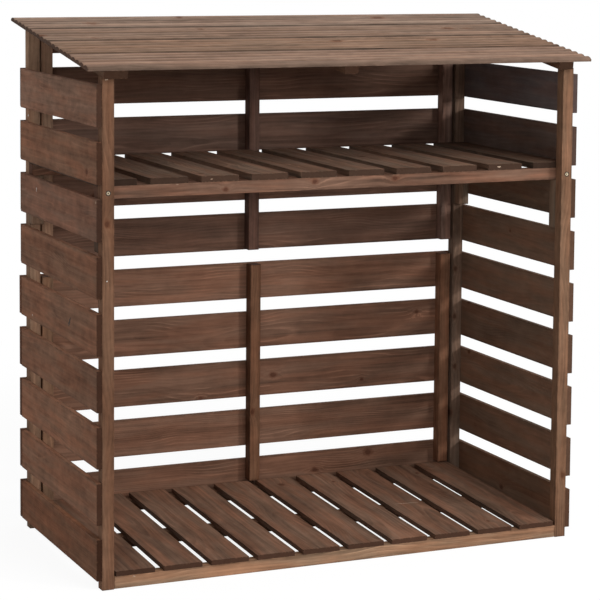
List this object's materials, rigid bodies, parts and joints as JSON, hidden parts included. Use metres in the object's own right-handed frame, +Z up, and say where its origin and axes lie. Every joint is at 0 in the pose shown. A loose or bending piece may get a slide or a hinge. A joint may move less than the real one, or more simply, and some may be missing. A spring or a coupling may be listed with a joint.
{
  "type": "log store",
  "caption": "Open-fronted wooden log store with slatted sides and back, a slatted floor, one slatted shelf and a lean-to roof of ribbed boards.",
  "frame": {"origin": "on the ground, at the middle of the bounding box's base", "axes": "+Z up, -Y to the open front, +X to the right as seen from the front"},
  "size_m": [1.252, 0.6034, 1.242],
  "materials": {
    "roof_boards": "rough sawn, ribbed, pressure treated brown",
    "side_boards": "rough sawn, pressure treated brown",
    "back_boards": "rough sawn, pressure treated brown",
    "slats": "rough sawn, pressure treated brown",
    "posts": "planed square batten, pressure treated brown",
    "rails": "planed square batten, pressure treated brown"
  },
  "bodies": {
    "root": {"floor_front_rail": "rails", "floor_middle_rail": "rails", "floor_rear_rail": "rails", "floor_slats": "slats", "left_front_post": "posts", "left_front_shelf_block": "rails", "left_rafter": "rails", "left_rear_post": "posts", "left_rear_shelf_block": "rails", "left_side_boards": "side_boards", "lower_back_boards": "back_boards", "lower_left_back_post": "posts", "lower_middle_back_post": "posts", "lower_right_back_post": "posts", "middle_rafter": "rails", "right_front_post": "posts", "right_front_shelf_block": "rails", "right_rafter": "rails", "right_rear_post": "posts", "right_rear_shelf_block": "rails", "right_side_boards": "side_boards", "roof_board_1": "roof_boards", "roof_board_2": "roof_boards", "roof_board_3": "roof_boards", "roof_board_4": "roof_boards", "shelf_front_rail": "rails", "shelf_rear_bearer": "rails", "shelf_slats": "slats", "upper_back_boards": "back_boards", "upper_left_back_post": "posts", "upper_middle_back_post": "posts", "upper_right_back_post": "posts"}
  },
  "joints": []
}
